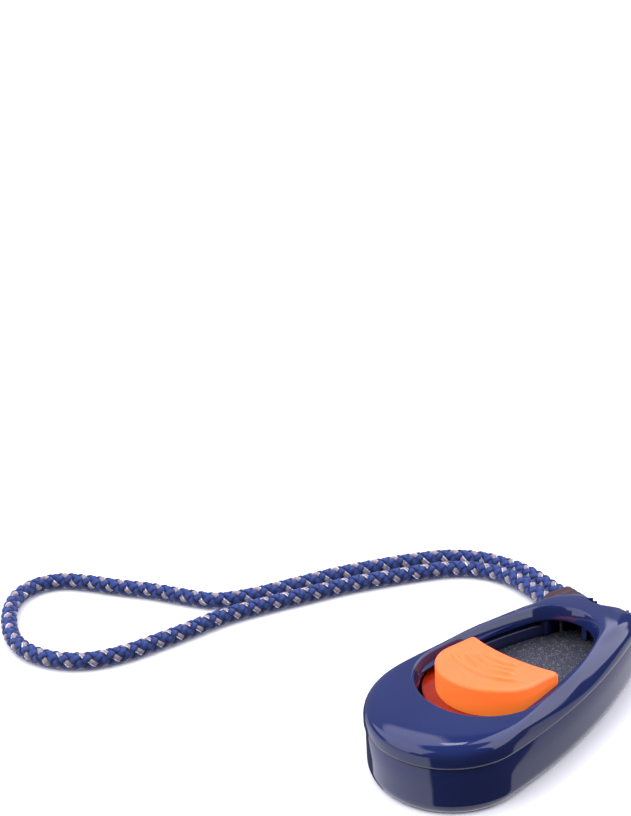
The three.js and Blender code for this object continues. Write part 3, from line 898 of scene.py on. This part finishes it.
def bottom_shell():
    high = SPLIT_Z - GAP / 2
    side = -OVERHANG
    outside = [(-2.4, 0), (-1.75, 0), (-1.5, 0.06), (-1.35, 0.18)]
    for step in range(1, 9):
        angle = math.pi / 2 * step / 8
        outside.append((side - (1 - math.sin(angle)), 0.25 + 2.25 * (1 - math.cos(angle))))
    outside += [(side, 6), (side, high - 0.1), (side - 0.04, high - 0.02), (side - 0.12, high)]
    inside = [(-1.0, high), (-1.0, SPLIT_Z + 0.8), (-1.15, SPLIT_Z + 1.0), (-1.7, SPLIT_Z + 1.0),
              (-WALL, SPLIT_Z + 0.9), (-WALL, LEDGE_Z), (-WALL - 1.6, LEDGE_Z),
              (-WALL - 1.6, FLOOR_Z + 0.6), (-WALL - 2.2, FLOOR_Z)]
    shell = loft("bottom_casing", wall_rings(CASE, outside + inside))
    wall = turned("scoop_wall", [(SCOOP_WALL_R, 0.8), (SCOOP_WALL_R, high)], EYELET_X)
    join(shell, combine(wall, loft("outside", wall_rings(CASE, outside)), "INTERSECT"))
    pedestal_z = (FLOOR_Z - 0.5, BLADE_LOW_Z - GAP)
    join(shell, block("pedestal", PEDESTAL_X, BLADE_ROOT_Y, pedestal_z))
    for x, y in BLADE_SCREWS:
        cut(shell, turned("pilot", [(BLADE_SCREW_HOLE_R, 2.7), (BLADE_SCREW_HOLE_R, 20)], x, y, 24))
    for x, y in CASE_SCREWS:
        column = [(COLUMN_R, FLOOR_Z - 0.5), (COLUMN_R, LEDGE_Z + GAP)]
        join(shell, turned("column", column, x, y, 32))
        shank_hole = [(CASE_SCREW_HOLE_R, -5), (CASE_SCREW_HOLE_R, 9)]
        cut(shell, turned("shank_hole", shank_hole, x, y, 24))
        seat = [(2.2, -5), (2.2, -0.01), (2.2, 0), (1.9, 0.3), (1.9, 3.2)]
        cut(shell, turned("head_hole", seat, x, y, 32))
    cut(shell, block("notch", NOTCH_X, NOTCH_Y, (-5, NOTCH_HIGH_Z)))
    cut(shell, scoop_cutter(LUG_HIGH_Z, 20))
    low_scoop = [(SCOOP_R + 0.6, -5), (SCOOP_R + 0.6, 0), (SCOOP_R + 0.15, 0.2), (SCOOP_R, 0.6),
                 (SCOOP_R, LUG_LOW_Z - 0.4), (SCOOP_R - 0.4, LUG_LOW_Z)]
    cut(shell, turned("low_scoop", low_scoop, EYELET_X))
    hole = [(EYELET_HOLE_R + 0.6, LUG_LOW_Z - 1), (EYELET_HOLE_R + 0.6, LUG_LOW_Z)]
    for step in range(1, 6):
        angle = math.pi / 2 * step / 5
        hole.append((EYELET_HOLE_R + 0.6 * (1 - math.sin(angle)),
                     LUG_LOW_Z + 0.6 * (1 - math.cos(angle))))
    middle = (LUG_LOW_Z + LUG_HIGH_Z) / 2
    hole += [(radius, 2 * middle - z) for radius, z in reversed(hole)]
    cut(shell, turned("eyelet", hole, EYELET_X, 0, 48))
    return place(finish_mesh(shell), "casing", "navy_gloss", ["bottom_shell"])


def guide_frame():
    """The inner frame: a rounded rail round the blade, two upstands and an open end wall."""
    low, high = LEDGE_Z + GAP, FRAME_TOP_Z
    rail = [(0, low), (0, high - 0.35), (0.05, high - 0.15), (0.18, high - 0.03), (0.4, high)]
    edge = wall_rings(CASE, [(FRAME_IN, high), (FRAME_IN, low)])
    made = loft("inner_frame", wall_rings(FRAME_HOLE, rail) + edge, ring_again=True)
    combine(made, block("reach", FRAME_X, EVERYWHERE, UPWARDS), "INTERSECT")
    # The upstands beside the flange.
    heights = [(FRAME_IN, high - 0.5), (FRAME_IN, UPSTAND_HIGH_Z)]
    upstand = loft("upstand", wall_rings(CASE, heights))
    combine(upstand, block("stretch", UPSTAND_X, EVERYWHERE, UPWARDS), "INTERSECT")
    cut(upstand, block("between", (-40, 40), (-UPSTAND_IN_Y, UPSTAND_IN_Y), UPWARDS))
    join(made, upstand)
    # The end wall, open in the middle for the blade's nose.
    wall = loft("end_wall", wall_rings(CASE, [(FRAME_IN, 8.85), (FRAME_IN, UPSTAND_HIGH_Z)]))
    combine(wall, block("end", END_WALL_X, EVERYWHERE, UPWARDS), "INTERSECT")
    cut(wall, loft("well", wall_rings(WELL, [(0.1, z) for z in UPWARDS])))
    join(made, wall)
    cut(made, block("nose_room", (END_WALL_X[0], 30), (-NOSE_ROOM, NOSE_ROOM), UPWARDS))
    cut(made, block("root_room", (-40, -19), (-8.6, 8.6), (0, BLADE_HIGH_Z + 0.35)))
    for x, y in BLADE_SCREWS:
        cut(made, turned("hole", [(BLADE_SCREW_HOLE_R, z) for z in UPWARDS], x, y, 24))
    for x, y in CASE_SCREWS:
        cut(made, turned("boss_room", [(BOSS_R + 0.4, z) for z in UPWARDS], x, y, 32))
    return place(finish_mesh(made), "casing", "dark_plastic", ["guide_frame"])


def click_blade():
    """The pressed blade: fine rounded rim, root tab with screw holes, and a dimple."""
    low, high = BLADE_LOW_Z, BLADE_HIGH_Z
    rim = [(-0.3, low), (-0.08, low + 0.04), (0, low + 0.15), (0, high - 0.15),
           (-0.08, high - 0.04), (-0.3, high)]
    made = loft("steel_blade", wall_rings(BLADE_PAN, rim))
    join(made, block("root", BLADE_ROOT_X, BLADE_ROOT_Y, (low, high)))
    join(made, prism("nose", mirrored(BLADE_NOSE) + BLADE_NOSE, low, high))
    for x, y in BLADE_SCREWS:
        cut(made, turned("hole", [(BLADE_SCREW_HOLE_R, z) for z in UPWARDS], x, y, 24))
    dimple = [(0.05, low - 0.5), (1.2, low - 0.45), (2.2, low - 0.28), (3.1, low), (3.2, low + 0.2)]
    join(made, turned("dimple", dimple, -9, 0, 40))
    return place(finish_mesh(made), "blade", "blade_steel", ["click_blade"])


top_shell()
bottom_shell()
guide_frame()
click_blade()

# ---------------------------------------------------------------- volume slider


def crescent(x, radius, corner):
    """A crescent's outline from above, with its two front corners rounded."""
    half = math.asin(radius / HOLLOW_R)
    front_x = HOLLOW_X - HOLLOW_R * math.cos(half)
    hollow = arc(HOLLOW_X, 0, HOLLOW_R, math.pi + half - corner / HOLLOW_R,
                 math.pi - half + corner / HOLLOW_R, 24)
    low_corner = [
        (front_x - corner + corner * math.sin(t), -radius + corner * (1 - math.cos(t)))
        for t in (math.pi / 2 * i / 6 for i in range(1, 6))
    ]
    back = arc(x, 0, radius, math.pi / 2, 1.5 * math.pi, 56)
    return back + low_corner + hollow + mirrored(low_corner)


def half_round(radius, front):
    """An outline with a round back about the flange's centre and a straight front."""
    back = arc(FLANGE_X, 0, radius, math.pi / 2, 1.5 * math.pi, 40)
    return back + [(front, -radius), (front, radius)]


def slider_flange():
    """The translucent flange, with the foot that reaches down to the damper pad."""
    flange = prism("slider_flange", crescent(FLANGE_X, FLANGE_R, 0.8), FLANGE_LOW_Z,
                   FLANGE_HIGH_Z, 0.2)
    foot = half_round(FOOT_R, FOOT_FRONT)
    join(flange, prism("foot", foot, FOOT_LOW_Z, FLANGE_LOW_Z + 0.2))
    for y in PEG_YS:
        cut(flange, turned("peg_hole", [(PEG_R + 0.25, z) for z in UPWARDS], PEG_X, y, 28))
    return place(finish_mesh(flange), "slider", "amber_clear", ["slider_carriage"])


GRIP_EDGE = 0.8  # the round along the grip's top edge
GRIP_CORNER = 1.1  # the rounding of its two front corners, seen from above
# Each raised ripple: the x of its arc's centre, its radius, and half the angle it spans.
RIPPLES = [(-0.6, 12.2, 0.82), (1.1, 10.8, 0.6), (1.0, 8.5, 0.66), (3.0, 8.2, 0.51)]
RIPPLE_HEIGHT = 0.62
RIPPLE_WIDTH = 0.5


def ripple_height(x, y):
    """How far the sound-wave ripples lift the grip's top at a point."""
    height = 0.0
    for centre, radius, half_angle in RIPPLES:
        away = math.hypot(x - centre, y) - radius
        # Each ripple is steep on its round side and runs out gently on the other.
        width = RIPPLE_WIDTH * (0.7 if away > 0 else 1.2)
        across = math.exp(-((away / width) ** 2))
        angle = abs(math.atan2(y, centre - x)) / half_angle
        fade = max(0.0, min(1.0, (1.12 - angle) / 0.35))
        height += RIPPLE_HEIGHT * across * fade * fade * (3 - 2 * fade)
    return height


def rounded_corner(x, y):
    """A point near a front corner, moved so that the corner is round from above."""
    to_hollow = Vector((x - HOLLOW_X, y))
    inwards = to_hollow.normalized()
    from_front = to_hollow.length - HOLLOW_R
    from_side = GRIP_R - abs(y)
    over = Vector((GRIP_CORNER - from_front, GRIP_CORNER - from_side))
    if over.x <= 0 or over.y <= 0:
        return x, y
    kept = over * max(over.x, over.y) / over.length
    moved = over - kept
    return x + inwards.x * moved.x, y + inwards.y * moved.x - math.copysign(moved.y, y)


def edge_drop(x, y):
    """How far the top's rounded edge has fallen at a point, from its distance to the edge."""
    to_front = math.hypot(x - HOLLOW_X, y) - HOLLOW_R
    to_side = GRIP_R - abs(y) if x > GRIP_X else GRIP_R - math.hypot(x - GRIP_X, y)
    corner = GRIP_CORNER - Vector((max(0, GRIP_CORNER - to_front),
                                   max(0, GRIP_CORNER - to_side))).length
    near = max(0.0, min(to_front, to_side, corner if x > GRIP_X else to_side))
    if near >= GRIP_EDGE:
        return 0.0
    return GRIP_EDGE - math.sqrt(GRIP_EDGE**2 - (GRIP_EDGE - near) ** 2)


def slider_grip():
    """The grip: a fine sloping top with ripples and round edges, on nearly upright sides."""
    rows, columns = 150, 110
    top, faces = [], []
    for row in range(rows + 1):
        turn = math.pi * (row / rows - 0.5)
        # Rows and columns are closer together near the edges, for the round there.
        y = GRIP_R * math.sin(turn)
        back_x = GRIP_X - GRIP_R * math.cos(turn)
        front_x = HOLLOW_X - math.sqrt(HOLLOW_R**2 - y * y)
        for column in range(columns + 1):
            share = 0.5 - 0.5 * math.cos(math.pi * column / columns)
            x = back_x + (front_x - back_x) * share
            px, py = rounded_corner(x, y)
            plane = GRIP_TOP_Z + GRIP_SLOPE * (px - GRIP_TOP_X)
            top.append((px, py, plane - edge_drop(px, py) + ripple_height(px, py)))
    wide = columns + 1
    for row in range(rows):
        for column in range(columns):
            a = row * wide + column
            faces.append((a, a + 1, a + wide + 1, a + wide))
    # Round the edge of the top, then down the sides to the flange.
    rim = (
        list(range(wide))
        + [row * wide + columns for row in range(1, rows + 1)]
        + [rows * wide + c for c in range(columns - 1, -1, -1)]
        + [row * wide for row in range(rows - 1, 0, -1)]
    )
    points = list(top)
    above = rim
    foot = FLANGE_HIGH_Z + 0.02
    for share in (0.35, 0.7, 1):
        start = len(points)
        for i in rim:
            x, y, z = top[i]
            points.append((x, y, z + (foot - z) * share))
        below = list(range(start, start + len(rim)))
        for i in range(len(rim)):
            j = (i + 1) % len(rim)
            faces.append((above[i], above[j], below[j], below[i]))
        above = below
    faces.append(tuple(above))
    made = new_object("coral_grip", points, faces)
    for y in PEG_YS:
        join(made, turned("peg", [(PEG_R, PEG_LOW_Z), (PEG_R, foot + 1)], PEG_X, y, 28))
    return place(finish_mesh(made, 50), "slider", "coral_soft", ["slider_grip"])


def damper():
    outline = half_round(DAMPER_R, DAMPER_FRONT)
    made = prism("damper_rubber", outline, BLADE_HIGH_Z + GAP, DAMPER_HIGH_Z, 0.1, 2)
    return place(made, "slider", "black_rubber", ["damper_pad"])


def stop_pad():
    profile = [(2.7, FLOOR_Z + GAP), (3, FLOOR_Z + GAP + 0.3), (3, 4.3), (2.7, 4.6)]
    made = turned("stop_rubber", profile, 17, 0, 40)
    return place(made, "casing", "black_rubber", ["blade_stop_pad"])


slider_flange()
slider_grip()
damper()
stop_pad()

# ---------------------------------------------------------------- screws


def screw(name, node, x, y, seat, head_r, head_high, shank_r, tip, up):
    """A pan-head screw with a cross recess and a rolled thread."""
    rise = up * head_high
    profile = [(head_r, seat), (head_r, seat + 0.45 * rise), (head_r * 0.9, seat + 0.8 * rise),
               (head_r * 0.6, seat + 0.97 * rise), (0.05, seat + rise)]
    shank, turns = [], 36
    for step in range(turns + 1):
        z = seat + (tip - seat) * step / turns
        shank.append((shank_r if step % 2 else shank_r * 0.8, z))
    shank.append((0.05, tip - up * 0.2))
    made = turned(name, profile[::-1] + shank, x, y, 36)
    reach, width = head_r * 0.62, head_r * 0.13
    slot = sorted((seat + rise * 0.45, seat + rise * 1.6))
    cut(made, block("slot", (x - reach, x + reach), (y - width, y + width), slot))
    cut(made, block("slot", (x - width, x + width), (y - reach, y + reach), slot))
    return place(finish_mesh(made), "casing", "screw_steel", [node])


CASE_SIZES = {"seat": 2.9, "head_r": 1.6, "head_high": 1.4, "shank_r": 0.85, "tip": 11.5, "up": -1}
BLADE_SIZES = {"seat": 11.15, "head_r": 1.6, "head_high": 1, "shank_r": 0.9, "tip": 3, "up": 1}
for name, (x, y) in zip(("back", "left", "right"), CASE_SCREWS):
    screw("case_screw_fine_" + name, "case_screw_" + name, x, y, **CASE_SIZES)
for name, (x, y) in zip(("left", "right"), BLADE_SCREWS):
    screw("blade_screw_fine_" + name, "blade_screw_" + name, x, y, **BLADE_SIZES)

# ---------------------------------------------------------------- floor and light


def make_floor():
    mesh = bpy.data.meshes.new("floor")
    size = 12.0
    corners = [(-size, -size, 0), (size, -size, 0), (size, size, 0), (-size, size, 0)]
    mesh.from_pydata(corners, [], [(0, 1, 2, 3)])
    floor = add_object("floor", mesh)
    m = Material("pale_floor", roughness=0.9)
    m.base(m.ramp(m.noise(3, 2), (0.3, (0.83, 0.83, 0.83)), (0.7, (0.85, 0.85, 0.85))))
    floor.data.materials.append(m.made)
    floor.visible_glossy = False
    floor.visible_diffuse = False


# The studio's panels of light: azimuth and elevation in degrees, each with its half size, then
# how bright it is and over how many degrees its edge fades.
PANELS = [
    # right: the tall side of the tent, and its roof
    ((-62, 24), (38, 32), 2.7, 3),
    ((-7, 38), (49, 21), 2.7, 3),
    ((-22, 22), (21, 10), 2.7, 3),
    # left: its roof, and the side that reaches down behind the round end
    ((72, 27), (57, 12), 2.2, 5),
    ((140, 44), (48, 23), 2.4, 6),
    ((152, 18), (24, 13), 2.4, 4),
    # the white table to the right and to the left of the dark camera side
    ((-15, 33), (-48, 41), 0.95, 3),
    ((141, 55), (-42, 47), 1.6, 6),
    # the dim backdrop that the top face mirrors
    ((60, 45), (16, 30), 0.45, 10),
    # the table close by
    ((0, 180), (-72, 24), 1.3, 3),
    # a small lamp overhead
    ((43, 7), (63, 3.5), 7.0, 1.5),
]
DARK = 0.11  # the rest of the studio


def make_world():
    """A studio all round, as panels of light in a dark room."""
    world = bpy.data.worlds.new("studio")
    bpy.context.scene.world = world
    world.use_nodes = True
    tree = world.node_tree
    direction = tree.nodes.new("ShaderNodeTexCoord").outputs["Generated"]

    def dot(vector):
        made = tree.nodes.new("ShaderNodeVectorMath")
        made.operation = "DOT_PRODUCT"
        tree.links.new(direction, made.inputs[0])
        made.inputs[1].default_value = vector
        return made.outputs["Value"]

    def inside(angle, half, soft):
        """1 where an angle is within half of zero, fading to 0 over soft degrees."""
        made = tree.nodes.new("ShaderNodeMapRange")
        made.interpolation_type = "SMOOTHSTEP"
        tree.links.new(math_node(tree, "ABSOLUTE", angle), made.inputs["Value"])
        made.inputs["From Min"].default_value = math.radians(half - soft / 2)
        made.inputs["From Max"].default_value = math.radians(half + soft / 2)
        made.inputs["To Min"].default_value = 1
        made.inputs["To Max"].default_value = 0
        return made.outputs["Result"]

    elevation = math_node(tree, "ARCSINE", dot((0, 0, 1)))
    brightness = None
    for (middle, half_wide), (height, half_high), strength, soft in PANELS:
        turn = math.radians(middle)
        beside = dot((-math.sin(turn), math.cos(turn), 0))
        facing = dot((math.cos(turn), math.sin(turn), 0))
        aside = math_node(tree, "ARCTAN2", beside, facing)
        above = math_node(tree, "SUBTRACT", elevation, math.radians(height))
        across, upright = inside(aside, half_wide, soft), inside(above, half_high, soft)
        mask = math_node(tree, "MULTIPLY", across, upright)
        light = math_node(tree, "MULTIPLY", mask, strength)
        if brightness is not None:
            light = math_node(tree, "MAXIMUM", brightness, light)
        brightness = light
    background = tree.nodes["Background"]
    background.inputs["Color"].default_value = (0.97, 0.96, 1.08, 1)
    tree.links.new(math_node(tree, "MAXIMUM", brightness, DARK), background.inputs["Strength"])


def make_overhead():
    """Even light from above, for the matt surfaces and the floor."""
    data = bpy.data.lights.new("overhead", "AREA")
    data.size = 1.2
    data.energy = 14
    light = add_object("overhead", data)
    light.location = (-0.25, 0.35, 1.1)
    aim = Vector((0, 0.03, 0)) - light.location
    light.rotation_mode = "QUATERNION"
    light.rotation_quaternion = aim.to_track_quat("-Z", "Y")
    light.visible_glossy = False


make_floor()
make_world()
make_overhead()
bpy.context.scene.view_settings.view_transform = "Standard"

bpy.context.view_layer.update()
